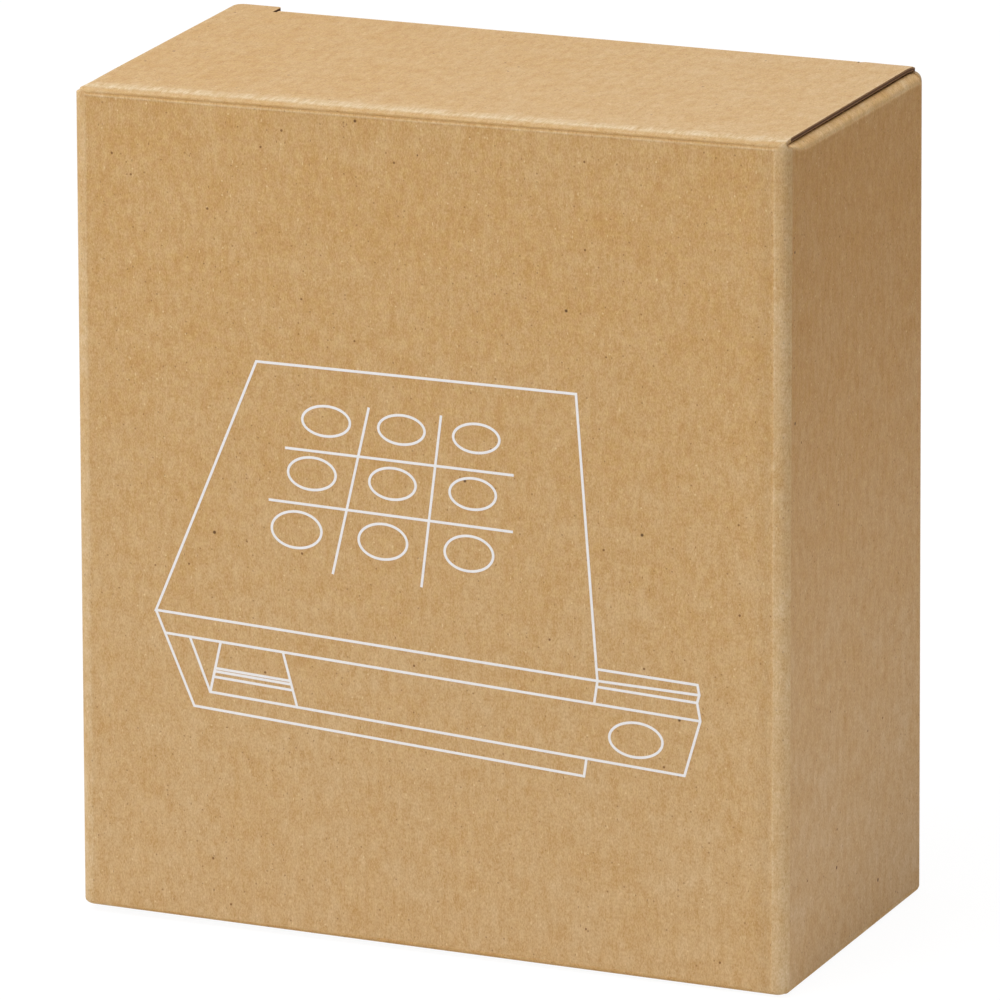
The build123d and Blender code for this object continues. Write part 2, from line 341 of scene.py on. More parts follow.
def cut_edge(n, t, across, phase):
    """Cut edge of the card: two liners and the wave of the medium between them, with painted shade
    in the open flutes, and darker towards that shade in random patches.
    """
    wave = n.times(n.math("SINE", phase), 0.3)
    across = n.math("SUBTRACT", across, 0.5)
    to_wave = n.math("ABSOLUTE", n.math("SUBTRACT", across, wave))
    medium = n.ramp(to_wave, 0.06, 0.12, 1.0, 0.0)
    liners = n.ramp(n.math("ABSOLUTE", across), 0.3, 0.36)
    edge = n.mix(n.math("MAXIMUM", medium, liners), EDGE_HOLLOW_PAINTED_SHADE, EDGE_PAPER)
    return n.mix(n.ramp(t["grain"], 0.3, 0.7, 0.0, 0.4), edge, EDGE_HOLLOW_PAINTED_SHADE)


def kraft_material():
    """Brown fluted card: fibres and flecks on the liners, worn creases with painted shade and
    highlights, a painted sheen on the lid, and open flutes with painted shade at the cuts.
    """
    n = Nodes("kraft_card")
    t = paper_texture(n)
    blank = t["blank"]
    grey = paper_tone(n, t)
    colour = n.mix(1.0, paper_colour(n, t), grey, "MULTIPLY")
    colour = pulp_marks(n, blank, colour)
    colour = apply_wear_and_painted_light(n, blank, colour, grey)
    x, _, across = n.split(blank)
    phase = n.times(x, 2 * math.pi / FLUTE_PITCH)
    edge = cut_edge(n, t, across, phase)
    colour = n.mix(n.attribute("cut"), colour, edge)
    rough = n.bump(t["height"], PAPER_RELIEF, 0.4)
    waves = n.times(n.math("SINE", phase), n.ramp(t["cloud"], 0.35, 0.65, 0.2, 1.0))
    normal = n.bump(waves, FLUTE_RELIEF, 0.5, rough)
    roughness = n.ramp(t["grain"], 0.2, 0.8, 0.66, 0.84)
    n.look(base_color=colour, roughness=roughness, specular_ior_level=0.2, normal=normal)
    return n.material


def ink_material():
    """White print that has sunk into the card's fibres."""
    n = Nodes("white_ink")
    t = paper_texture(n)
    gone = n.times(n.ramp(t["grain"], 0.5, 0.8), 0.25)
    colour = n.mix(gone, INK, KRAFT_YELLOW)
    normal = n.bump(t["height"], INK_RELIEF, 0.5)
    n.look(base_color=colour, roughness=0.75, specular_ior_level=0.3, normal=normal)
    return n.material


def wood_material(name, turn, pale, deep, ring_mm, offset):
    """Sawn wood with its grain along one axis: growth rings round a distant pith, pores and silk."""
    n = Nodes(name)
    coord = n.add("ShaderNodeTexCoord")
    place = {"Vector": coord.outputs["Object"], "Rotation": turn, "Scale": (1 / MM,) * 3}
    mapping = n.add("ShaderNodeMapping", place)

    def along(share):
        """The log's place, with its length shortened so that noise is drawn out along it."""
        return n.vector("MULTIPLY", mapping.outputs[0], (1.0, 1.0, share))

    long = along(0.06)
    sway = n.noise(long, 0.05, 3.0)
    warped = n.vector("ADD", long, n.vector("MULTIPLY", sway, (9.0, 9.0, 0.0)))
    flat = n.vector("MULTIPLY", n.vector("ADD", warped, offset), (1.0, 1.0, 0.0))
    reach = n.add("ShaderNodeVectorMath", {0: flat}, operation="LENGTH")
    rings = n.math("FRACT", n.math("DIVIDE", reach.outputs["Value"], ring_mm))
    late = n.ramp(rings, 0.35, 0.95)
    late = n.times(late, n.ramp(rings, 0.94, 1.0, 1.0, 0.0))
    fine = n.noise(along(0.05), 2.4, 3.0, 0.6)
    silk = n.noise(along(0.02), 0.35, 2.0)
    colour = n.mix(n.times(late, 0.55), pale, deep)
    colour = n.mix(n.times(n.ramp(fine, 0.45, 0.75), 0.4), colour, deep)
    colour = n.mix(n.times(n.ramp(silk, 0.35, 0.7), 0.25), colour, deep)
    pores = n.flecks(along(0.12), 0.9, 0.2, 0.16)
    darker = tuple(c * 0.45 for c in deep[:3]) + (1.0,)
    colour = n.mix(n.times(pores, 0.3), colour, darker)
    roughness = n.ramp(fine, 0.3, 0.7, 0.5, 0.62)
    height = n.math("SUBTRACT", fine, n.times(pores, 0.6))
    normal = n.bump(height, WOOD_RELIEF, 0.5)
    n.look(base_color=colour, roughness=roughness, specular_ior_level=0.35, normal=normal)
    return n.material


kraft = kraft_material()
ink = ink_material()


# Card pieces.


def steps(low, high, spacing):
    """Evenly spaced numbers strictly between two limits."""
    count = max(1, round((high - low) / spacing))
    return [low + (high - low) * i / count for i in range(1, count)]


def to_left(x):
    """0 at the right wall, 1 at the left wall."""
    return np.clip((HALF_W - x) / CARTON_W, 0, 1)


def leant(points):
    """The carton leans in towards its top at the left, front and back, and its left foot is high."""
    x, y, z = np.array(points, float).T
    up = z / CARTON_H
    lean_x = np.where(x < 0, LEAN_LEFT, 0.0) / HALF_W
    lean_y = np.where(y < 0, LEAN_FRONT, LEAN_BACK) / HALF_D
    rise = LEFT_RISE * to_left(x) * (1 - up)
    return np.column_stack([x * (1 - lean_x * up), y * (1 - lean_y * up), z + rise])


def shell(faces, rim, count):
    """Polygons of a closed layer: the outer faces, the same ones inside, and the rim between."""
    inner = [[i + count for i in reversed(f)] for f in faces]
    return faces + inner + [[b, a, a + count, b + count] for a, b in rim]


def write(mesh, name, values, kind="FLOAT", domain="POINT"):
    """Mesh attribute with one number or one vector for every point or face."""
    at = mesh.attributes.new(name, kind, domain)
    key = "vector" if kind == "FLOAT_VECTOR" else "value"
    at.data.foreach_set(key, values.astype(np.float32).ravel())


def add_object(name, data):
    obj = bpy.data.objects.new(name, data)
    bpy.context.scene.collection.objects.link(obj)
    return obj


def sheet(
    name, outline, lines_u, lines_v, place,
    wear_and_painted_light=None, blank=None, flip=False, thick=CARD_T, raw=None, stretched=None,
):
    """Closed piece of card. The outline is flat and counter-clockwise as seen from outside.
    place(u, v, depth) puts a flat point in the row frame, in millimetres. blank(u, v) is its
    place in the flat blank. raw(u, v) tells which edges are cut and show their flutes. Two
    more functions give the paper's rubbed wear with painted sheen and painted shade, and its painted
    highlight."""
    bm = bmesh.new()
    bm.faces.new([bm.verts.new((u, v, 0.0)) for u, v in outline])
    for axis, lines in ((0, lines_u), (1, lines_v)):
        for c in lines:
            at = [0.0, 0.0, 0.0]
            normal = [0.0, 0.0, 0.0]
            at[axis] = c
            normal[axis] = 1.0
            everything = bm.verts[:] + bm.edges[:] + bm.faces[:]
            bmesh.ops.bisect_plane(bm, geom=everything, dist=1e-5, plane_co=at, plane_no=normal)
    bm.verts.index_update()
    flat = np.array([v.co[:2] for v in bm.verts], float)
    faces = [[v.index for v in f.verts] for f in bm.faces]
    rim = [
        (loop.vert.index, loop.link_loop_next.vert.index)
        for f in bm.faces
        for loop in f.loops
        if loop.edge.is_boundary
    ]
    bm.free()
    count = len(flat)
    u, v = flat[:, 0], flat[:, 1]
    outer = np.column_stack(place(u, v, np.zeros(count)))
    inner = np.column_stack(place(u, v, np.full(count, thick)))
    verts = leant(np.vstack([outer, inner])) * MM
    polygons = shell(faces, rim, count)
    if flip:
        polygons = [list(reversed(p)) for p in polygons]
    mesh = bpy.data.meshes.new(name)
    mesh.from_pydata([tuple(p) for p in verts], [], polygons)
    flat_map = np.column_stack([*(blank(u, v) if blank else (u, v)), np.zeros(count)])
    write(mesh, "blank", np.vstack([flat_map, flat_map + (0.0, 0.0, 1.0)]), "FLOAT_VECTOR")
    for key, field in (("wear_and_painted_light", wear_and_painted_light), ("stretched", stretched)):
        values = np.zeros(2 * count)
        if field:
            values[:count] = np.clip(field(u, v), -1, 1)
        write(mesh, key, values)
    cut = np.zeros(len(polygons))
    middle = (flat[[a for a, b in rim]] + flat[[b for a, b in rim]]) / 2
    cut[2 * len(faces) :] = raw(middle[:, 0], middle[:, 1]) if raw else 1.0
    write(mesh, "cut", cut, domain="FACE")
    mesh.polygons.foreach_set("use_smooth", [True] * len(polygons))
    rim_pairs = {tuple(sorted(p)) for p in rim}
    rim_pairs |= {(a + count, b + count) for a, b in rim_pairs}
    upright = {tuple(sorted((a, a + count))) for pair in rim for a in pair}
    for e in mesh.edges:
        pair = tuple(sorted(e.vertices))
        e.use_edge_sharp = pair in rim_pairs or pair in upright
    mesh.materials.append(kraft)
    mesh.validate()
    obj = add_object(name, mesh)
    return obj


def never(u, v):
    return np.zeros(len(u))


def panel(node, body, *shape, **look):
    """Sheet that takes the place of a row node and moves with its body."""
    piece = sheet(f"{node}_card", *shape, **look)
    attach(piece, body)
    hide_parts(node)


def crease(name, bodies, start, end, *shape, **look):
    """Bent strip of card along a crease, baked into place; it is not attached to either body.
    bodies, start and end are not used.
    """
    strip = sheet(name, *shape, raw=never, **look)
    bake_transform(strip)


def rounded(points, radii, count=6):
    """Outline with its corners rounded off; a radius of 0 keeps a corner."""
    out = []
    total = len(points)
    for i, (p, r) in enumerate(zip(points, radii)):
        if not r:
            out.append(p)
            continue
        p = np.array(p, float)
        a = np.array(points[i - 1], float) - p
        b = np.array(points[(i + 1) % total], float) - p
        a, b = a / np.linalg.norm(a), b / np.linalg.norm(b)
        half = math.acos(float(np.clip(a @ b, -1, 1))) / 2
        back = r / math.tan(half)
        middle = p + (a + b) / np.linalg.norm(a + b) * r / math.sin(half)
        start, end = p + a * back - middle, p + b * back - middle
        sweep = math.acos(float(np.clip(start @ end, -r * r, r * r) / (r * r)))
        for k in range(count + 1):
            t = k / count
            s1 = math.sin((1 - t) * sweep) / math.sin(sweep)
            s2 = math.sin(t * sweep) / math.sin(sweep)
            out.append(tuple(middle + start * s1 + end * s2))
    return out


def lid_droop(x, y):
    """The lid's front left corner lies a little lower than the rest."""
    to_front = np.clip((FLAT_Y - y) / (2 * FLAT_Y), 0, 1)
    from_left = HALF_W + np.asarray(x, float)
    from_front = HALF_D + np.asarray(y, float)
    tip = np.exp(-from_left / 5) * np.exp(-from_front / 4)
    return LID_DROOP * to_left(x) * to_front + TIP_DROOP * tip


def crease_z(x):
    """Height of the score under the lid's crease."""
    return SCORE_Z - SCORE_TILT * to_left(x)


def flap_top(x, y):
    """Height of a dust flap, which follows the lid and touches it at the front corner."""
    from_front, from_side = y + FLAT_Y, FLAT_X - np.abs(x)
    touch = FLAP_TOUCH * (1 - smooth(from_front / 2.5)) * (1 - smooth(from_side / 16))
    gap = GAP * smooth(from_front / 25)
    tab = np.where(x > 0, TAB_DROP - TAB_TO_FLAP, 0.0) * smooth((y - TUCK_CREASE_Y + 0.4) / 2.5)
    return SIDE_TOP + FLAP_RISE - lid_droop(x, y) + touch - gap - tab


def side_high(x, y):
    """Height where a side wall bends over to its dust flap."""
    from_front = y + FLAT_Y
    bend = SIDE_BEND_FRONT + (SIDE_BEND - SIDE_BEND_FRONT) * smooth(from_front / 5)
    bend = bend + SIDE_BEND_REAR * smooth(from_front / (2 * FLAT_Y))
    return flap_top(np.sign(x) * FLAT_X, y) - bend


def ripple(u, v):
    """Slight waviness of a card face, in millimetres inwards."""
    slow = np.sin(u * 0.061 + 0.7) * np.sin(v * 0.047 + 1.9)
    return WAVINESS + WAVINESS * slow


def score(below):
    """Pressed score: a groove, and a raised lip under it."""
    lip = np.exp(-(((below - LIP_BELOW) / 0.17) ** 2))
    return SCORE_DEEP * np.exp(-((below / 0.15) ** 2)) - LIP_HIGH * lip


def along_crease(u):
    """1 along the front's top crease, fading out at its two ends."""
    return smooth((FLAT_X + 0.4 - np.abs(u)) / 1.2)


def score_shade_and_lip(below):
    """Paint of the score: painted shade in the groove, and lighter on the lip."""
    lip = np.exp(-(((below - LIP_BELOW) / 0.15) ** 2))
    return 0.42 * lip - 0.08 * np.exp(-(((below - 0.05) / 0.15) ** 2))


def fitted(v, high, low):
    """Height on a wall whose two ends are moved to the heights high and low."""
    near_top = smooth((v - WALL_HIGH + END_H) / END_H)
    near_foot = smooth((WALL_LOW + END_H - v) / END_H)
    z = np.clip(v, WALL_LOW, WALL_HIGH)
    return z + (high - WALL_HIGH) * near_top + (low - WALL_LOW) * near_foot


def wrapped(u, v, depth, high, top, low, foot):
    """Wall with rounded vertical corners, from the height low to the height high. Past its ends
    the corners close over, down to the height foot and up to the height top."""
    turn = np.maximum(np.abs(u) - FLAT_X, 0) / CREASE_R
    over = np.maximum(v - WALL_HIGH, 0) / CREASE_R
    under = np.maximum(WALL_LOW - v, 0) / CREASE_R
    r = CREASE_R - depth
    shut = np.cos(over + under)
    x = np.sign(u) * (np.minimum(np.abs(u), FLAT_X) + r * np.sin(turn) * shut)
    out = FLAT_Y + r * np.cos(turn) * shut
    shut_z = (top - high - depth) * np.sin(over) - (low - foot - depth) * np.sin(under)
    return x, out, fitted(v, high, low) + shut_z


def corner_share(u):
    """0 on a wall's flat part, 1 where its corner meets the next wall."""
    return smooth((np.abs(u) - FLAT_X) / ARC_L)


def corner_lip(u):
    """Fine raised line along a vertical crease."""
    return 0.05 * np.exp(-(((np.abs(u) - FLAT_X + 0.25) / 0.2) ** 2))


def front_place(u, v, depth):
    inside = smooth((FLAT_X - np.abs(u)) / 8)
    near_top = np.exp(-(((v - WALL_HIGH) / 2.5) ** 2))
    pressed = score(WALL_HIGH - v) * along_crease(u)
    depth = depth + ripple(u, v) * inside * (1 - near_top) + pressed - corner_lip(u)
    share = corner_share(u)
    high = crease_z(u) * (1 - share) + side_high(u, -FLAT_Y) * share
    top = flap_top(np.sign(u) * FLAT_X, -FLAT_Y)
    low = FOOT_BEND + FOOT_RISE * share
    x, out, z = wrapped(u, v, depth, high, np.maximum(top, high + 0.05), low, 0.0)
    return x, -out, z


def corner_wear_and_shade(u, v):
    """Light band that the crease leaves along a vertical corner, and towards u > 0 painted shade
    just inside the corner.
    """
    beyond = np.abs(u) - FLAT_X
    band = smooth((beyond + 0.5) / 0.7) * smooth((ARC_L + 0.4 - beyond) / 0.9)
    patchy = 0.24 + 0.06 * np.sin(v * 0.13 + 0.6) + 0.05 * np.sin(v * 0.41)
    line = np.where(u > 0, 0.3, 0.15) * np.exp(-(((beyond + 0.25) / 0.2) ** 2))
    # Painted shade just inside the corner, on the side where u > 0.
    painted_shade_by_corner = np.where(u > 0, 0.09, 0.0) * np.exp(-(((beyond + 1.5) / 0.9) ** 2))
    return patchy * band + line - painted_shade_by_corner


def front_wear_and_shade(u, v):
    return corner_wear_and_shade(u, v) + score_shade_and_lip(WALL_HIGH - v) * along_crease(u)


corner_lines = [s * (FLAT_X + ARC_L * k / 8) for s in (-1, 1) for k in range(9)]
corner_lines += [s * (FLAT_X - t) for s in (-1, 1) for t in (0.1, 0.25, 0.4, 0.6, 0.9, 1.4)]
fine_top = [WALL_HIGH - 0.1 * k for k in range(1, 14)]
cap = ARC_L * CAP_SHARE
cap_lines = [WALL_HIGH + cap * k / 6 for k in range(6)]
cap_lines += [WALL_LOW - cap * k / 6 for k in range(6)]
end_u = FLAT_X + ARC_L
foot_edge = [
    (-end_u, WALL_LOW - cap),
    (-FLAT_X, WALL_LOW - cap),
    (-FLAT_X, WALL_LOW),
    (FLAT_X, WALL_LOW),
    (FLAT_X, WALL_LOW - cap),
    (end_u, WALL_LOW - cap),
]
wall_outline = foot_edge + [(-u, CARTON_H - v) for u, v in foot_edge]
panel(
    "front_panel", "carton", wall_outline,
    corner_lines + steps(-FLAT_X, FLAT_X, 4),
    fine_top + cap_lines + steps(WALL_LOW, WALL_HIGH - 1.5, 4),
    front_place, front_wear_and_shade, raw=never,
)


def side_place(sign):
    def place(u, v, depth):
        y = sign * u
        inside = smooth((FLAT_Y - np.abs(y)) / 6)
        depth = depth + ripple(u + 80, v) * inside * smooth((WALL_HIGH - v) / 5)
        z = fitted(v, side_high(sign, y), FOOT_BEND + FOOT_RISE)
        return sign * (HALF_W - depth), y, z

    return place


def side_worn(u, v):
    return 0.1 * smooth((v - WALL_HIGH + 0.4) / 0.4) * (0.85 + 0.15 * np.sin(u * 0.3))


def side_stretched(u, v):
    """Painted highlight where the wall bends over to the dust flap, for the top light that the bend
    would catch.
    """
    return 0.15 * smooth((v - WALL_HIGH + 0.3) / 0.3)


for sign, word in ((1, "right"), (-1, "left")):
    panel(
        f"{word}_panel", "carton",
        [(-FLAT_Y, WALL_LOW), (FLAT_Y, WALL_LOW), (FLAT_Y, WALL_HIGH), (-FLAT_Y, WALL_HIGH)],
        steps(-FLAT_Y, FLAT_Y, 3),
        steps(WALL_LOW, WALL_HIGH, 4) + [WALL_HIGH - t for t in (0.3, 0.6, 0.9, 1.3, 1.8)],
        side_place(sign), side_worn,
        blank=lambda u, v, s=sign: (u + s * SIDE_U, v),
        raw=never, stretched=side_stretched,
    )


def back_place(u, v, depth):
    """The back's raw top edge is one layer under the lid's top, and lower at the bent right tab."""
    inside = smooth((FLAT_X - np.abs(u)) / 8)
    share = corner_share(u)
    depth = depth + ripple(u + 31, v + 11) * inside
    right_tab = (TAB_DROP - TAB_TO_BACK) * smooth((-u - TUCK_HALF_W + 1.5) / 2) * (1 - share)
    high = (SIDE_TOP - right_tab) * (1 - share) + side_high(-u, FLAT_Y) * share
    top = np.maximum(SIDE_TOP - right_tab, high + 0.02)
    x, out, z = wrapped(-u, v, depth, high, top, FOOT_BEND + FOOT_RISE, FOOT_RISE)
    flat = (np.abs(u) <= FLAT_X) & (v >= WALL_LOW)
    low = np.where(np.abs(u) < TUCK_HALF_W + 0.01, 0.0, LAYER)
    straight = low + (v - WALL_LOW) * (1 + (WALL_LOW - low) / END_H)
    return x, out, np.where(flat & (v < WALL_LOW + END_H), straight, z)


edge_lines = [s * (TUCK_HALF_W + t) for s in (-1, 1) for t in (0.0, 0.05)]
panel(
    "back_panel", "carton", wall_outline,
    corner_lines + steps(-FLAT_X, FLAT_X, 4) + edge_lines,
    cap_lines + steps(WALL_LOW, WALL_HIGH, 4),
    back_place, corner_wear_and_shade,
    blank=lambda u, v: (u + BACK_U, v),
    raw=lambda u, v: np.abs(u) < FLAT_X,
)


def glue_place(u, v, depth):
    """The glue flap lies against the inside of the left wall."""
    return -(HALF_W - CAD_CARD_T - GLUE_T - depth), -u, v


glue_u = -FLAT_Y + GAP
glue_top = CARTON_H - GLUE_END
panel(
    "glue_flap", "carton",
    [
        (glue_u, GLUE_END),
        (glue_u + GLUE_W, GLUE_END + GLUE_TAPER),
        (glue_u + GLUE_W, glue_top - GLUE_TAPER),
        (glue_u, glue_top),
    ],
    steps(glue_u, glue_u + GLUE_W, 4),
    steps(GLUE_END, glue_top, 8),
    glue_place,
    blank=lambda u, v: (u + GLUE_U, v),
)


LID_FRONT = -27.0
LID_FRONT_HALF_W = (60.9, 61.35)
FOLD_FOOT_HALF_W = (61.5, 62.1)
LID_REAR_HALF_W = (60.9, 61.2)
FOOT_HALF_W = 60.3
FOLD_DEEP = LID_FRONT + HALF_D
TIGHT_FOLD = 0.15
FOLD_STEEP = 2.4
FOLD_L = 4.4


def lid_z(x, y, depth):
    """The lid is very slightly hollow, and its right end tab is bent down."""
    along = np.clip((y + FLAT_Y) / (2 * FLAT_Y), 0, 1)
    hollow = LID_HOLLOW * np.cos(x / 60 * math.pi / 2) * np.sin(along * math.pi)
    bent = TAB_DROP * smooth((x - TUCK_HALF_W + 1.5) / 2) * smooth((y - TUCK_CREASE_Y + 0.4) / 3)
    return CARTON_H - depth - lid_droop(x, y) - hollow - bent


def lid_place(u, v, depth):
    return u, v, lid_z(u, v, depth)


def foot_place(u, v, depth):
    return u, v, CARTON_H - depth


def lid_outline(front_y, front_half_w, rear_half_w):
    """Lid with an end tab at each rear corner, parted from the tuck's crease by a slit."""
    slit_y = TUCK_CREASE_Y - 0.6
    (front_left, front_right), (left, right) = front_half_w, rear_half_w
    points = [
        (-front_left, front_y),
        (front_right, front_y),
        (right, HALF_D),
        (TAB_INNER_X[1], HALF_D),
        (TAB_INNER_X[1], slit_y),
        (TUCK_HALF_W, slit_y),
        (TUCK_HALF_W, TUCK_CREASE_Y),
        (-TUCK_HALF_W, TUCK_CREASE_Y),
        (-TUCK_HALF_W, slit_y),
        (-TAB_INNER_X[0], slit_y),
        (-TAB_INNER_X[0], HALF_D),
        (-left, HALF_D),
    ]
    return rounded(points, [0, 0, TAB_R, 0.1, 0, 0, 0, 0, 0, 0, 0.6, TAB_R])


def rubbed_fold(y):
    """Light band along the lid's crease: sharp towards the front, fading on the lid."""
    return 0.6 * smooth((y + 30.5) / 1.2) * np.exp(-np.maximum(y + 29.2, 0) / 1.9)


def lid_wear_and_sheen(u, v):
    to_rear = (v - LID_FRONT) / (HALF_D - LID_FRONT)
    front = np.where(u < 0, *LID_FRONT_HALF_W)
    end = front + (np.where(u < 0, *LID_REAR_HALF_W) - front) * to_rear
    # Painted sheen: the whole lid is painted paler, more so towards its right, for the top light's
    # sheen.
    painted_sheen = 0.05 + 0.11 * smooth((u + HALF_W) / CARTON_W)
    return rubbed_fold(v) + painted_sheen + 0.3 * np.exp(-np.maximum(end - np.abs(u), 0) / 0.3)


def lid_blank(u, v):
    return u, v - LID_FRONT + WALL_HIGH + FOLD_L


lid_lines_u = steps(-60, 60, 4) + [s * t for s in (-1, 1) for t in (59.8, 60.2, 60.6, 61.0, 61.4)]
lid_lines_v = steps(LID_FRONT, 31, 2.5) + [LID_FRONT + t for t in (0.3, 0.8, 1.4)]


def tuck_point(v, depth):
    """Section of the tuck: v runs down from the end of the crease."""
    c, s = math.cos(TUCK_LEAN), math.sin(TUCK_LEAN)
    y = TUCK_CREASE_Y + (CREASE_R - depth) * c - v * s
    z = CARTON_H - CREASE_R - (CREASE_R - depth) * s - v * c
    return y, z


def tuck_place(u, v, depth):
    y, z = tuck_point(-v, depth)
    bow = TUCK_BOW * smooth(-v / TUCK_L) * np.cos(u / TUCK_HALF_W * math.pi / 2)
    return -u, y - bow, z


tuck_outline = rounded(
    [
        (-TUCK_TIP_HALF_W, -TUCK_L),
        (TUCK_TIP_HALF_W, -TUCK_L),
        (TUCK_HALF_W, -2.0),
        (TUCK_HALF_W, 0.0),
        (-TUCK_HALF_W, 0.0),
        (-TUCK_HALF_W, -2.0),
    ],
    [6, 6, 0, 0, 0, 0],
)


def dust_place(sign, under):
    def place(u, v, depth):
        x, y = sign * (HALF_W - u), v - HALF_D
        return x, y, (SIDE_TOP if under else flap_top(x, y)) - depth

    return place


dust_outline = rounded(
    [
        (CREASE_R, CREASE_R + 1.6),
        (DUST_REACH, DUST_REACH + 1.5),
        (DUST_REACH, DUST_DEPTH),
        (DUST_SHOULDER + 2, DUST_DEPTH),
        (DUST_SHOULDER, CARTON_D - 1.2),
        (CREASE_R, CARTON_D - 1.2),
    ],
    [0, 4, 4, 1.5, 1.5, 0],
)


def fold_shape(u, t):
    """Lid fold at the share t of its length: shares of its depth and height, and how it faces.
    It is wide along the middle and tight at its two ends."""
    share = smooth((np.abs(u) - FLAT_X + 7) / 7)
    wide = (0.35 + 0.65 * t) * t * math.pi / 2
    tight = np.minimum(t * 2, 1) * math.pi / 2
    back = TIGHT_FOLD * (1 - np.cos(tight)) + (1 - TIGHT_FOLD) * np.maximum(t * 2 - 1, 0)
    back = (1 - np.cos(wide)) ** FOLD_STEEP * (1 - share) + back * share
    rise = np.sin(wide) * (1 - share) + np.sin(tight) * share
    slope = FOLD_STEEP * (1 - np.cos(wide)) ** (FOLD_STEEP - 1) * np.sin(wide) * FOLD_DEEP
    facing = np.arctan2(slope, np.cos(wide) * 1.2)
    return back, rise, facing * (1 - share) + tight * share


def sink(beyond):
    """How far a strip's overlap lies under the panel that it joins."""
    return LEAD_SINK * smooth(beyond / 0.1)


def strip_parts(v, length):
    """How far along its bend a strip is, and how far into its first and last overlap."""
    return np.clip(v - LEAD, 0, length), np.maximum(LEAD - v, 0), np.maximum(v - LEAD - length, 0)


def front_crease(u, v, depth):
    """Strip from the score on the front panel up and over to the lid."""
    run, before, past = strip_parts(v, FOLD_L)
    back, rise, facing = fold_shape(u, run / FOLD_L)
    depth = depth + sink(before) + sink(past)
    wall_y = -FLAT_Y - np.sqrt(CREASE_R**2 - np.clip(np.abs(u) - FLAT_X, 0, CREASE_R) ** 2)
    y = wall_y + (LID_FRONT - wall_y) * back + past
    low, high = crease_z(u), CARTON_H - lid_droop(u, y)
    lump = 0.03 * np.sin(facing) * np.cos(facing) * (np.sin(u * 0.35) + np.sin(u * 0.93 + 1))
    pressed = score(before - (high - low) * rise) * along_crease(u)
    z = low + (high - low) * rise - (depth + lump) * np.sin(facing) - before
    return u, y + (depth + pressed + lump) * np.cos(facing), z


def front_crease_wear_and_shade(u, v):
    run, before, past = strip_parts(v, FOLD_L)
    back, rise, facing = fold_shape(u, run / FOLD_L)
    y = LID_FRONT - FOLD_DEEP * (1 - back) + past
    # Painted shade in the score's groove.
    groove = score_shade_and_lip(before - 1.1 * rise) * along_crease(u)
    ends = 0.3 * smooth((np.abs(u) - 60.6) / 1.2)
    return rubbed_fold(y) + 0.2 * smooth(facing / 0.3) + groove + ends


def foot_front_crease(u, v, depth):
    """Strip from the front panel down and under to the bottom panel."""
    run, before, past = strip_parts(v, ARC_L)
    turn = run / CREASE_R
    depth = depth + sink(before) + sink(past)
    y = -FLAT_Y - (CREASE_R - depth) * np.cos(turn) + past
    z = FOOT_BEND - (FOOT_BEND - depth) * np.sin(turn) + before
    return u, y, z


def side_crease(sign):
    def place(u, v, depth):
        y = sign * u
        run, before, past = strip_parts(v, ARC_L)
        turn = run / CREASE_R
        depth = depth + sink(before) + sink(past)
        x = FLAT_X + (CREASE_R - depth) * np.cos(turn) - past
        low, high = side_high(sign, y), flap_top(sign * FLAT_X, y)
        lump = 0.03 * np.sin(2 * turn) * np.sin(u * 0.5)
        z = low + (high - low - depth) * np.sin(turn) - lump - before
        return sign * x, y, z

    return place


def foot_side_crease(sign):
    """Strip from the side wall down, under and up to the bottom dust flap."""

    def place(u, v, depth):
        run, before, past = strip_parts(v, ARC_L)
        turn = np.minimum(run, ARC_L / 2) / CREASE_R * 2
        second_half = np.clip(run / (ARC_L / 2) - 1, 0, 1)
        rise = smooth(second_half)
        depth = depth + sink(before)
        x = FLAT_X + 1 + (1 - depth) * np.cos(turn) - second_half - past
        z = FOOT_BEND + FOOT_RISE - (FOOT_BEND - depth) * np.sin(turn) + rise * (LAYER - FOOT_RISE)
        return sign * x, sign * u, z + before

    return place


def side_crease_wear_and_shade(u, v):
    t = (v - LEAD) / ARC_L
    patchy = 0.2 + 0.08 * np.sin(u * 0.37) + 0.05 * np.sin(u * 1.1 + 2)
    # Rubbed along the bend, then painted shadow, near black, where the bend runs in under the lid's
    # edge.
    return patchy * smooth((0.8 - t) / 0.08) - smooth((t - 0.74) / 0.07)


def side_crease_stretched(u, v):
    # Painted highlight across the bend to the dust flap, brightest on its upper part.
    t = (v - LEAD) / ARC_L
    return 0.15 + 0.33 * smooth(t / 0.4)


def tuck_crease_worn(u, v):
    return 0.4 + 0.08 * np.sin(u * 0.37) + 0.05 * np.sin(u * 1.1 + 2)


def tuck_crease(u, v, depth):
    """Strip from the lid down to the tuck."""
    run, before, past = strip_parts(v, tuck_l)
    turn = math.pi / 2 - run / CREASE_R
    r = CREASE_R - depth - sink(before) - sink(past)
    y = TUCK_CREASE_Y + r * np.cos(turn) - past * math.sin(TUCK_LEAN) - before
    z = CARTON_H - CREASE_R + r * np.sin(turn) - past * math.cos(TUCK_LEAN)
    return u, y, z


def strip_outline(half_w, length):
    """A strip with its two overlaps."""
    end = length + 2 * LEAD
    return [(-half_w, 0.0), (half_w, 0.0), (half_w, end), (-half_w, end)]


def over(place):
    """The same piece at the bottom of the carton."""

    def turned(u, v, depth):
        x, y, z = place(u, v, depth)
        return x, y, CARTON_H - z

    return turned


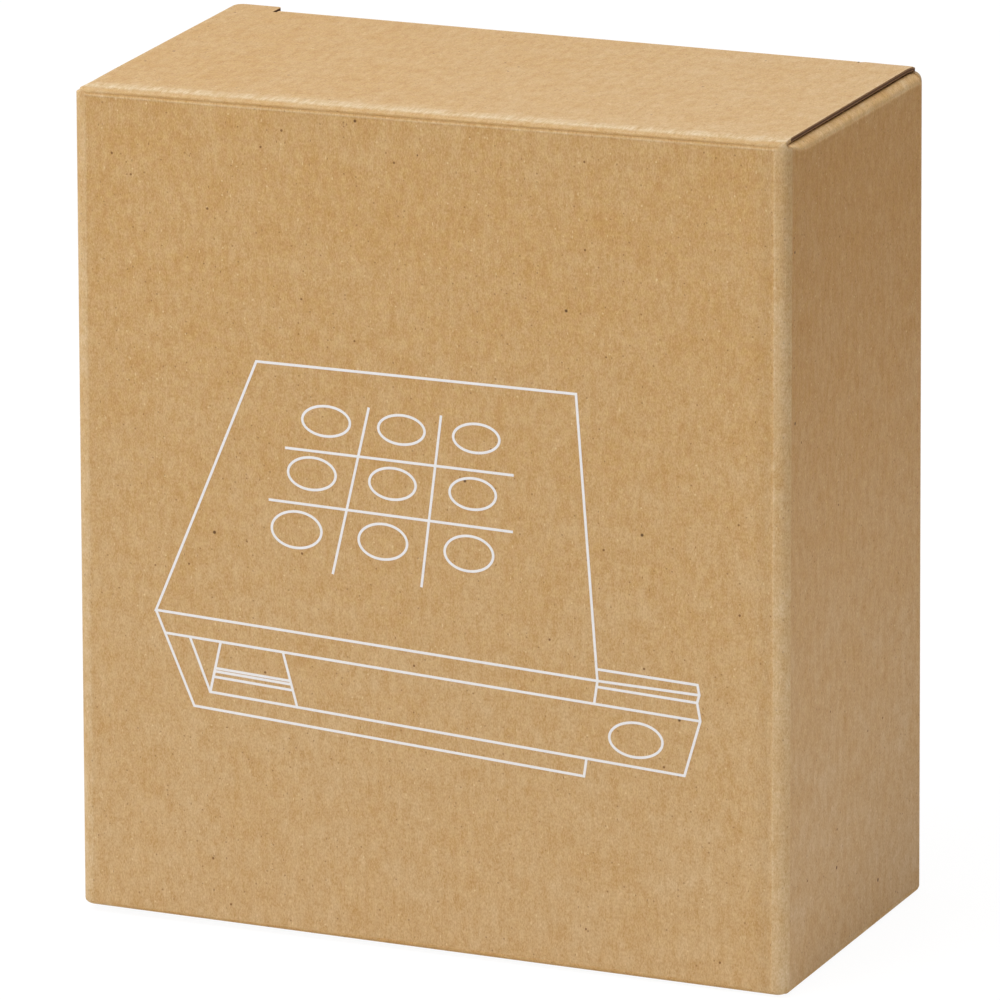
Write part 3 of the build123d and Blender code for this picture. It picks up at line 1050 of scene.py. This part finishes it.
inner_r = CREASE_R - CARD_T
tuck_l = CREASE_R * (math.pi / 2 + TUCK_LEAN)
top_lid = lid_outline(LID_FRONT, LID_FRONT_HALF_W, LID_REAR_HALF_W)
foot_lid = lid_outline(-FLAT_Y, (FOOT_HALF_W,) * 2, (FOOT_HALF_W,) * 2)
for under in (False, True):
    put = over if under else (lambda place: place)
    end_z = 0.0 if under else CARTON_H
    prefix = "bottom_" if under else ""
    lid_body, lid_node = ("bottom", "bottom_panel") if under else ("lid", "lid_panel")
    tuck_body = f"{prefix}tuck"
    panel(
        lid_node, lid_body, foot_lid if under else top_lid, lid_lines_u, lid_lines_v,
        put(foot_place if under else lid_place), lid_wear_and_sheen, blank=lid_blank, flip=under,
        raw=lambda u, v: (v > LID_FRONT + 0.01) & (np.abs(v - TUCK_CREASE_Y) > 0.01),
    )
    panel(
        f"{prefix}tuck_flap", tuck_body, tuck_outline,
        steps(-TUCK_HALF_W, TUCK_HALF_W, 4), steps(-TUCK_L, 0, 2),
        put(tuck_place), blank=lambda u, v: (-u, TUCK_V - v), flip=under,
        raw=lambda u, v: v < -0.01,
    )
    fold_l = ARC_L if under else FOLD_L
    fold_end = fold_l + 2 * LEAD
    foot_left, foot_right = (FLAT_X, FLAT_X) if under else FOLD_FOOT_HALF_W
    lid_left, lid_right = (FLAT_X, FLAT_X) if under else LID_FRONT_HALF_W
    crease(
        f"{prefix}front_crease", ("carton", lid_body),
        (0, -FLAT_Y - inner_r, end_z),
        (0, -FLAT_Y if under else LID_FRONT - 1, end_z),
        [(-foot_left, 0.0), (foot_right, 0.0), (lid_right, fold_end), (-lid_left, fold_end)],
        steps(-FLAT_X, FLAT_X, 2.5) + [s * (FLAT_X + 0.25 * k) for s in (-1, 1) for k in range(6)],
        [LEAD * k / 3 for k in range(1, 4)] + [LEAD + fold_l * k / 18 for k in range(1, 19)],
        foot_front_crease if under else front_crease, front_crease_wear_and_shade,
        blank=lambda u, v: (u, v + WALL_HIGH - LEAD), flip=under,
    )
    crease(
        f"{prefix}tuck_crease", (lid_body, tuck_body),
        (0, TUCK_CREASE_Y, end_z), (0, tuck_point(LEAD, CARD_T)[0], end_z),
        strip_outline(TUCK_HALF_W, tuck_l),
        steps(-TUCK_HALF_W, TUCK_HALF_W, 4), [LEAD + tuck_l * k / 10 for k in range(11)],
        put(tuck_crease), tuck_crease_worn,
        blank=lambda u, v: (u, v + TUCK_CREASE_V), flip=under,
    )
    for sign, word in ((1, "right"), (-1, "left")):
        dust_body = f"{prefix or 'top_'}dust_{word}"
        panel(
            f"{prefix}dust_flap_{word}", dust_body, dust_outline,
            steps(CREASE_R, DUST_REACH, 3), steps(CREASE_R, CARTON_D, 3),
            put(dust_place(sign, under)),
            blank=lambda u, v, s=sign: (v + s * SIDE_U, u + DUST_V),
            flip=under != (sign > 0),
            raw=lambda u, v: u > CREASE_R + 0.01,
        )
        crease(
            f"{prefix}{word}_crease", ("carton", dust_body),
            (sign * (FLAT_X + inner_r), 0, end_z), (sign * FLAT_X, 0, end_z),
            strip_outline(FLAT_Y, ARC_L),
            steps(-FLAT_Y, FLAT_Y, 2), [LEAD + ARC_L * k / 12 for k in range(13)],
            (foot_side_crease if under else side_crease)(sign), side_crease_wear_and_shade,
            blank=lambda u, v, s=sign: (u + s * SIDE_U, v + WALL_HIGH - LEAD),
            flip=under,
            thick=CARD_T / 2 if under else CARD_T,
            stretched=None if under else side_crease_stretched,
        )


# Printed drawing: an outline view of the wooden game in perspective, with its door a fifth open.
# It was drawn by hand, and its own proportions, in the game's millimetres, differ a little.
VIEW_AZIMUTH = 10.565
VIEW_ELEVATION = 43.506
VIEW_ROLL = -5.955
VIEW_DISTANCE = 253.3
VIEW_SCALE = 144.89
VIEW_X = -5.14
VIEW_Z = 68.41
DRAWN_W = 110.0
DRAWN_D = 113.7
DRAWN_H = 39.2
DRAWN_PLATE = 8.5
DRAWN_BASE = 8.1
DRAWN_WALL = 6.9
DRAWN_SLIDE = 24.3
DRAWN_DOOR_L = 102.1
DRAWN_DOOR_FACE = 5.1
DRAWN_DOOR_T = 8.0
DRAWN_RAIL_H = 2.9
DRAWN_GROOVE = 1.5
DRAWN_RING_X = (30.3, 54.9, 78.5)
DRAWN_RING_Y = (35.2, 59.1, 84.8)
DRAWN_RING_R = (6.77, 6.94, 7.43)
DRAWN_RING_GROWTH = (1.046, 0.992, 0.961)
DRAWN_RING_STRETCH = (1.155, 1.075, 1.0)
DRAWN_RING_TURN = math.radians(-37)
DRAWN_GRID_HALF_L = (34.9, 36.4)
DRAWN_GRID_SHIFT = 0.6
DRAWN_GRID_HALF_PITCH = 11.88
DRAWN_HOLE_END = 13.3
DRAWN_HOLE_DROP = 0.2
DRAWN_HOLE_R = (6.3, 6.97)
DRAWN_HOLE_TURN = math.radians(14)
DRAWN_NOOK_X = 15.4
INK_W = 0.43
INK_RAISED = 0.03
INK_SUNK = 0.02


def looking(azimuth, elevation, roll):
    """Right, up and forward directions of a camera."""
    a, e, r = (math.radians(x) for x in (azimuth, elevation, roll))
    forward = -Vector((math.sin(a) * math.cos(e), -math.cos(a) * math.cos(e), math.sin(e)))
    right = forward.cross(Vector((0, 0, 1))).normalized()
    up = right.cross(forward)
    turned = math.cos(r) * right + math.sin(r) * up
    return turned, -math.sin(r) * right + math.cos(r) * up, forward


draw_right, draw_up, draw_forward = looking(VIEW_AZIMUTH, VIEW_ELEVATION, VIEW_ROLL)


def drawn(x, y, z):
    """Point of the game, lying flat with its door in front, as printed on the front panel."""
    p = Vector((x - GAME_W / 2, y - GAME_W / 2, z - GAME_T / 2))
    away = p.dot(draw_forward) + VIEW_DISTANCE
    across = VIEW_X + VIEW_SCALE * p.dot(draw_right) / away
    return np.array([across, VIEW_Z + VIEW_SCALE * p.dot(draw_up) / away])


def meet(a, b, c, d):
    """Where the line through a and b meets the line through c and d."""
    t = np.linalg.solve(np.column_stack([b - a, c - d]), c - a)[0]
    return a + t * (b - a)


def drawing():
    """The drawing's lines as lists of points, and whether each is closed."""
    w, d, t = DRAWN_W, DRAWN_D, DRAWN_H
    under_plate, floor_z = t - DRAWN_PLATE, DRAWN_BASE
    end = w + DRAWN_SLIDE
    top = [drawn(0, 0, t), drawn(w, 0, t), drawn(w, d, t), drawn(0, d, t)]
    foot_l, foot_r = drawn(0, 0, 0), drawn(w, 0, 0)
    plate_l, plate_r = drawn(0, 0, under_plate), drawn(w, 0, under_plate)
    floor_l, floor_r = drawn(DRAWN_WALL, 0, floor_z), drawn(w, 0, floor_z)
    door_top, door_foot = drawn(end, 0, under_plate), drawn(end, 0, floor_z)
    door_l = [drawn(end - DRAWN_DOOR_L, 0, under_plate), drawn(end - DRAWN_DOOR_L, 0, floor_z)]
    nook = drawn(DRAWN_NOOK_X, 0, under_plate)
    lines = [
        (top, True),
        ([top[0], foot_l, foot_r, floor_r], False),
        ([top[1], plate_r], False),
        ([plate_l, door_top], False),
        ([drawn(DRAWN_WALL, 0, under_plate), floor_l, door_foot], False),
        ([floor_l, nook], False),
        (door_l, False),
    ]
    for y, z in (
        (DRAWN_DOOR_T, floor_z),
        (DRAWN_DOOR_T, floor_z - DRAWN_GROOVE),
        (DRAWN_DOOR_FACE, floor_z),
    ):
        a, b = drawn(0, y, z), drawn(w, y, z)
        lines.append(([meet(a, b, floor_l, nook), meet(a, b, *door_l)], False))
    rail_z = under_plate + DRAWN_RAIL_H
    rear = drawn(end, DRAWN_DOOR_T, rail_z)
    rim = drawn(end, DRAWN_DOOR_FACE, rail_z)
    step = drawn(end, DRAWN_DOOR_FACE, under_plate)
    lines.append(([rear, rim, step, door_top, door_foot], False))
    lines.append(([meet(drawn(w, DRAWN_DOOR_T, rail_z), rear, top[1], top[2]), rear], False))
    lines.append(([top[1], rim], False))
    inner = drawn(w, DRAWN_DOOR_FACE, under_plate)
    lines.append(([meet(inner, step, top[1], plate_r), step], False))
    half_x, half_y = DRAWN_GRID_HALF_L
    mid_y = d / 2 + DRAWN_GRID_SHIFT
    for s in (-DRAWN_GRID_HALF_PITCH, DRAWN_GRID_HALF_PITCH):
        lines.append(([drawn(w / 2 + s, mid_y + k * half_y, t) for k in (-1, 1)], False))
        lines.append(([drawn(w / 2 + k * half_x, mid_y + s, t) for k in (-1, 1)], False))
    around = [2 * math.pi * i / 64 for i in range(64)]
    c, s = math.cos(DRAWN_RING_TURN), math.sin(DRAWN_RING_TURN)
    for cy, r in zip(DRAWN_RING_Y, DRAWN_RING_R):
        for cx, growth, stretch in zip(DRAWN_RING_X, DRAWN_RING_GROWTH, DRAWN_RING_STRETCH):
            long, short = r * growth * math.sqrt(stretch), r * growth / math.sqrt(stretch)
            ring = []
            for q in around:
                a, b = long * math.cos(q), short * math.sin(q)
                ring.append(drawn(cx + a * c - b * s, cy + a * s + b * c, t))
            lines.append((ring, True))
    hole_x = end - DRAWN_HOLE_END
    hole_z = (under_plate + floor_z) / 2 - DRAWN_HOLE_DROP
    c, s = math.cos(DRAWN_HOLE_TURN), math.sin(DRAWN_HOLE_TURN)
    ring = []
    for q in around:
        a, b = DRAWN_HOLE_R[0] * math.cos(q), DRAWN_HOLE_R[1] * math.sin(q)
        ring.append(drawn(hole_x + a * c - b * s, 0, hole_z + a * s + b * c))
    lines.append((ring, True))
    return lines


def ink_quads(points, closed):
    """One printed line as flat quads with mitred corners."""
    dense = []
    count = len(points)
    for i in range(count if closed else count - 1):
        a, b = points[i], points[(i + 1) % count]
        parts = max(1, int(np.linalg.norm(b - a) / 3))
        dense += [a + (b - a) * k / parts for k in range(parts)]
    if not closed:
        dense.append(points[-1])
    dense = [np.array(p) for p in dense]
    total = len(dense)
    sides = []
    for i in range(total):
        before = dense[i] - dense[i - 1] if closed or i else dense[1] - dense[0]
        after = dense[(i + 1) % total] - dense[i] if closed or i < total - 1 else before
        before, after = before / np.linalg.norm(before), after / np.linalg.norm(after)
        middle = (before + after) / np.linalg.norm(before + after)
        normal = np.array([-middle[1], middle[0]])
        sides.append(normal * INK_W / 2 / max(0.35, float(middle @ after)))
    if not closed:
        for i, step in ((0, dense[0] - dense[1]), (-1, dense[-1] - dense[-2])):
            dense[i] = dense[i] + step / np.linalg.norm(step) * INK_W * 0.35
    rails = [(p - s, p + s) for p, s in zip(dense, sides)]
    pairs = list(zip(rails, rails[1:])) + ([(rails[-1], rails[0])] if closed else [])
    return [(a[0], b[0], b[1], a[1]) for a, b in pairs]


def printed_lines():
    """All lines joined into one very thin layer that follows the front panel."""
    corners, quads = [], []
    for points, closed in drawing():
        for quad in ink_quads(points, closed):
            quads.append(list(range(len(corners), len(corners) + 4)))
            corners += [Vector(c) for c in quad]
    flat, _, faces, _, _, origin = delaunay_2d_cdt(corners, [], quads, 0, 1e-4)
    faces = [f for f, first in zip(faces, origin) if first]
    used = sorted({i for f in faces for i in f})
    new = {old: i for i, old in enumerate(used)}
    faces = [[new[i] for i in f] for f in faces]
    u, v = np.array([flat[i] for i in used]).T
    count = len(used)
    layers = [
        np.column_stack(front_place(u, v, np.full(count, depth)))
        for depth in (-INK_RAISED, INK_SUNK)
    ]
    directed = [(f[k - 1], f[k]) for f in faces for k in range(len(f))]
    known = set(directed)
    rim = [(a, b) for a, b in directed if (b, a) not in known]
    verts = leant(np.vstack(layers)) * MM
    mesh = bpy.data.meshes.new("printed_lines")
    mesh.from_pydata([tuple(p) for p in verts], [], shell(faces, rim, count))
    flat_map = np.column_stack([np.tile(u, 2), np.tile(v, 2), np.zeros(2 * count)])
    write(mesh, "blank", flat_map, "FLOAT_VECTOR")
    mesh.materials.append(ink)
    mesh.validate()
    return mesh


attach(add_object("printed_lines", printed_lines()), "carton")


# Wooden game.
PINE = srgb(222, 188, 138)
PINE_DEEP = srgb(186, 138, 86)
BOARD_RING = 3.4
BALL_RING = 1.7
BALL_TURN = (0.5, 0.9, 0.2)
BALL_OFFSET = (9.0, 3.0, 0.0)
along_z = (0.0, 0.0, 0.0)
along_x = (0.0, math.pi / 2, 0.0)
boards = {
    "board_plate": (along_z, (12.0, 70.0, 0.0)),
    "base_plate": (along_z, (-30.0, 85.0, 0.0)),
    "upper_wall": (along_x, (75.0, 20.0, 0.0)),
    "lower_wall": (along_x, (-90.0, 10.0, 0.0)),
    "back_wall": (along_z, (60.0, -35.0, 0.0)),
    "sliding_door": (along_z, (70.0, 28.0, 0.0)),
}


def dress(node, material):
    """Give a row node its own material."""
    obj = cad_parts[node]
    obj.data.materials.clear()
    obj.data.materials.append(material)


for node, (turn, offset) in boards.items():
    dress(node, wood_material(f"pine_{node}", turn, PINE, PINE_DEEP, BOARD_RING, offset))
for node, pale, deep, slot in (
    ("light_balls", srgb(232, 205, 160), srgb(205, 165, 115), "light_wood"),
    ("dark_balls", srgb(112, 66, 38), srgb(62, 34, 20), "dark_wood"),
):
    dress(node, wood_material(node, BALL_TURN, pale, deep, BALL_RING, BALL_OFFSET))


# Camera, light and floor.
CAMERA_AZIMUTH = 23.377
CAMERA_ELEVATION = 15.563
CAMERA_ROLL = -0.47
CAMERA_DISTANCE = 1580.7 * MM
CAMERA_SIDE = -0.036 * MM
CAMERA_DOWN = -1.623 * MM
FOCAL_PIXELS = 9659.0
PHOTO_PIXELS = 1000
SENSOR_MM = 36.0
ROOM_TINT = (1, 0.95, 0.9, 1)
ROOM_LEVEL = 0.33
BACKDROP_LEVEL = 1.0
FLOOR_REACH = 3.0
FLOOR_BELOW = 0.2 * MM
FLOOR_GREY = (0.82, 0.82, 0.82, 1)
FLOOR_GLOW = 1.07
FLOOR_GLOW_SHARE = 0.88

right, up, forward = looking(CAMERA_AZIMUTH, CAMERA_ELEVATION, CAMERA_ROLL)
centre = Vector((0, 0, CARTON_H / 2 * MM))
place = centre - right * CAMERA_SIDE + up * CAMERA_DOWN - forward * CAMERA_DISTANCE
camera_data = bpy.data.cameras.new("camera")
camera_data.sensor_width = SENSOR_MM
camera_data.lens = FOCAL_PIXELS / PHOTO_PIXELS * SENSOR_MM
camera_data.clip_start = 0.1
camera_data.clip_end = 20
camera = add_object("camera", camera_data)
rows = [(right[i], up[i], -forward[i], place[i]) for i in range(3)]
camera.matrix_world = Matrix(rows + [(0, 0, 0, 1)])
bpy.context.scene.camera = camera


def softbox(name, position, target, size, power):
    """Large square area light that faces a point."""
    data = bpy.data.lights.new(name, "AREA")
    data.shape = "SQUARE"
    data.size = size
    data.energy = power
    obj = add_object(name, data)
    obj.location = position
    obj.rotation_mode = "QUATERNION"
    aim = Vector(target) - Vector(position)
    obj.rotation_quaternion = aim.to_track_quat("-Z", "Y")


softbox("top_light", (-0.25, -0.35, 1.1), (0, 0, 0.07), size=0.9, power=9.7)
softbox("front_light", (-0.75, -1.0, 0.45), (0, 0, 0.07), size=0.9, power=5.1)
softbox("rear_light", (-0.45, 1.3, 0.5), (0, 0, 0.14), size=0.7, power=3.9)
softbox("low_fill", (0.2, -0.02, 0.004), (0.0625, 0, 0.015), size=0.12, power=0.087)


def seen_directly(n):
    """1 for what the camera, a mirror or a clear surface shows, 0 for the light on the object."""
    path = n.add("ShaderNodeLightPath")
    seen = n.math("MAXIMUM", path.outputs["Is Camera Ray"], path.outputs["Is Glossy Ray"])
    return n.math("MAXIMUM", seen, path.outputs["Is Transmission Ray"])


# The light of the room is a little warm. The backdrop itself is white.
world = bpy.data.worlds.new("studio")
bpy.context.scene.world = world
world.use_nodes = True
n = Nodes(tree=world.node_tree)
background = n.tree.nodes["Background"]
seen = seen_directly(n)
n.join(n.mix(seen, ROOM_TINT, (1, 1, 1, 1)), background.inputs["Color"])
n.join(n.ramp(seen, 0.0, 1.0, ROOM_LEVEL, BACKDROP_LEVEL), background.inputs["Strength"])

# Floor: white to the camera, with a faint shadow left in it.
floor_mesh = bpy.data.meshes.new("floor")
corners = [(-FLOOR_REACH, -FLOOR_REACH), (FLOOR_REACH, -FLOOR_REACH)]
corners += [(-x, -y) for x, y in corners]
floor_mesh.from_pydata([(x, y, 0) for x, y in corners], [], [(0, 1, 2, 3)])
floor = add_object("floor", floor_mesh)
floor.location.z = -FLOOR_BELOW
n = Nodes("floor")
n.look(base_color=FLOOR_GREY, roughness=0.9, specular_ior_level=0.0)
glow = n.add("ShaderNodeEmission", {"Strength": FLOOR_GLOW})
share = n.times(seen_directly(n), FLOOR_GLOW_SHARE)
mixed = n.add("ShaderNodeMixShader", {0: share, 1: n.shader.outputs[0], 2: glow.outputs[0]})
n.join(mixed.outputs[0], n.tree.nodes["Material Output"].inputs["Surface"])
floor_mesh.materials.append(n.material)

bpy.context.scene.view_settings.view_transform = "Standard"
